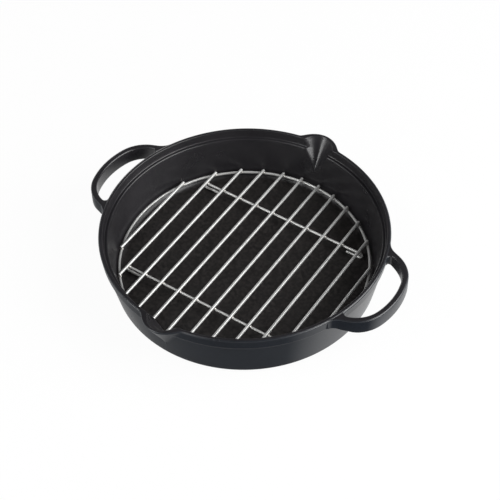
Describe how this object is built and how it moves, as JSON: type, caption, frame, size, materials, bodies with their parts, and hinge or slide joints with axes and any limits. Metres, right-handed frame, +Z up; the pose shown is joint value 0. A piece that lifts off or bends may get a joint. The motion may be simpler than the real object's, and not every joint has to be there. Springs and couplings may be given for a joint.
{
  "type": "round grill pan with rack",
  "caption": "Round cast-iron grill pan with loop handles, pour spouts and a stepped rim for a lid, holding a lift-out wire rack on hairpin feet",
  "frame": {"origin": "middle of the pan's flat underside, on the surface that the pan stands on", "axes": "+X from the middle through one loop handle, +Y through one pour spout, +Z up out of the pan's mouth"},
  "size_m": [0.312, 0.2804, 0.0535],
  "materials": {
    "seasoned_iron": "black seasoned cast iron, satin, with a fine sand-cast grain",
    "bright_wire": "bright plated round wire"
  },
  "bodies": {
    "pan": {"pan_casting": "seasoned_iron"},
    "rack": {"rack_ring": "bright_wire", "rack_bar_01": "bright_wire", "rack_bar_02": "bright_wire", "rack_bar_03": "bright_wire", "rack_bar_04": "bright_wire", "rack_bar_05": "bright_wire", "rack_bar_06": "bright_wire", "rack_bar_07": "bright_wire", "rack_bar_08": "bright_wire", "rack_bar_09": "bright_wire", "rack_bar_10": "bright_wire", "rack_bar_11": "bright_wire", "rack_bar_12": "bright_wire", "rear_cross_wire": "bright_wire", "front_cross_wire": "bright_wire"}
  },
  "joints": [
    {"name": "rack_lift", "type": "slide", "parent": "pan", "child": "rack", "axis": [0, 0, 1], "range_m": [0, 0.08]}
  ]
}
